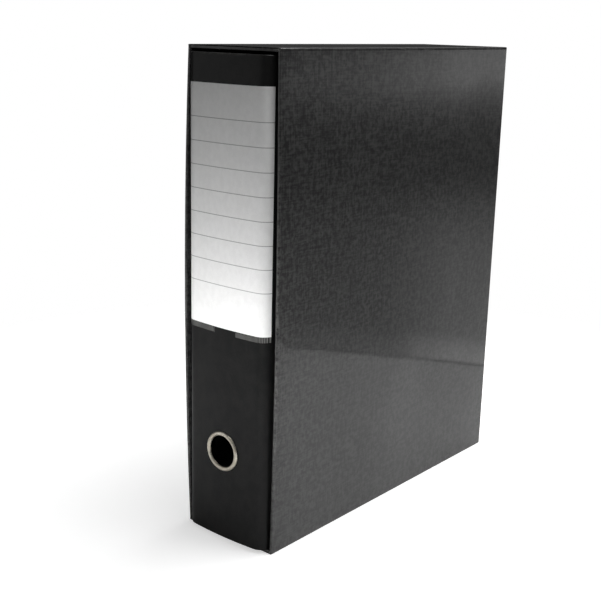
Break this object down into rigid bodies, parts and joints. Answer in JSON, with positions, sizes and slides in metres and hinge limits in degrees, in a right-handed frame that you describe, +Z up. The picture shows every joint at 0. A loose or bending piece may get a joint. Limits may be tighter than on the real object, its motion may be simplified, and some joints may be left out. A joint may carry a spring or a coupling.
{
  "type": "lever arch file in a slipcase",
  "caption": "Upright slipcase holding a lever arch binder: board covers, labelled spine with a metal finger ring, and inside two arches that open on a lever over straight posts.",
  "frame": {"origin": "on the floor, at the middle of the footprint", "axes": "+Z up along the spine, -Y out of the slipcase's mouth towards the reader, +X towards the front cover's side"},
  "size_m": [0.0893, 0.2928, 0.35],
  "materials": {
    "grey_board": "uncoated grey board",
    "laminated_paper": "black laminated paper with a fine linen grain, glossy",
    "covering_paper": "black covering paper, satin, very fine grain",
    "lining_paper": "dark grey lining paper, matt",
    "label_paper": "white coated label paper with fine grey ruled lines",
    "perforated_strip": "grey printed strip with a torn, perforated edge",
    "nickel_ring": "nickel-plated, polished",
    "nickel_steel": "nickel-plated steel, semi-bright",
    "spring_steel": "blued spring steel"
  },
  "bodies": {
    "slipcase": {"case_left_board": "grey_board", "case_right_board": "grey_board", "case_back_board": "grey_board", "case_top_board": "grey_board", "case_bottom_board": "grey_board", "case_side_wrap": "laminated_paper", "case_top_sheet": "laminated_paper", "case_bottom_sheet": "laminated_paper"},
    "spine": {"spine_board": "grey_board", "spine_covering": "covering_paper", "spine_lining": "lining_paper", "spine_label": "label_paper", "label_tear_strip": "perforated_strip", "finger_ring": "nickel_ring", "finger_ring_washer": "nickel_ring"},
    "front_cover": {"front_board": "grey_board", "front_covering": "covering_paper", "front_lining": "lining_paper"},
    "rear_cover": {"rear_board": "grey_board", "rear_covering": "covering_paper", "rear_lining": "lining_paper", "mechanism_base": "nickel_steel", "mechanism_rivets": "nickel_steel", "upper_post": "nickel_steel", "lower_post": "nickel_steel", "lever_pin": "nickel_steel"},
    "arches": {"arch_wire": "nickel_steel"},
    "lever_arm": {"lever": "nickel_steel", "roller_pin": "nickel_steel"},
    "roller": {"lever_roller": "nickel_steel"},
    "paper_clamp": {"paper_clamp_bar": "nickel_steel", "paper_clamp_spring": "spring_steel", "paper_clamp_rivet": "nickel_steel"}
  },
  "joints": [
    {"name": "binder_slide", "type": "slide", "parent": "slipcase", "child": "spine", "axis": [0, -1, 0], "range_m": [-0.003, 0.3]},
    {"name": "front_cover_hinge", "type": "hinge", "parent": "spine", "child": "front_cover", "pos_m": [0.0375, -0.13474, 0.174], "axis": [0, 0, -1], "range_deg": [-3.5, 0]},
    {"name": "rear_cover_hinge", "type": "hinge", "parent": "spine", "child": "rear_cover", "pos_m": [-0.0375, -0.13474, 0.174], "axis": [0, 0, 1], "range_deg": [-3.5, 0]},
    {"name": "lever_hinge", "type": "hinge", "parent": "rear_cover", "child": "lever_arm", "pos_m": [-0.02012, -0.11895, 0.174], "axis": [0, 0, 1], "range_deg": [0, 65]},
    {"name": "arch_hinge", "type": "hinge", "parent": "rear_cover", "child": "arches", "pos_m": [-0.0295, -0.10255, 0.174], "axis": [0, 0, -1], "range_deg": [0, 32]},
    {"name": "roller_spin", "type": "hinge", "parent": "lever_arm", "child": "roller", "pos_m": [-0.0169, -0.11389, 0.174], "axis": [0, 0, 1], "continuous": true},
    {"name": "paper_clamp_slide", "type": "slide", "parent": "rear_cover", "child": "paper_clamp", "axis": [1, 0, 0], "range_m": [-0.005, 0.025]}
  ],
  "couplings": [
    {"joint": "arch_hinge", "follows": "lever_hinge", "ratio": 0.4923}
  ]
}
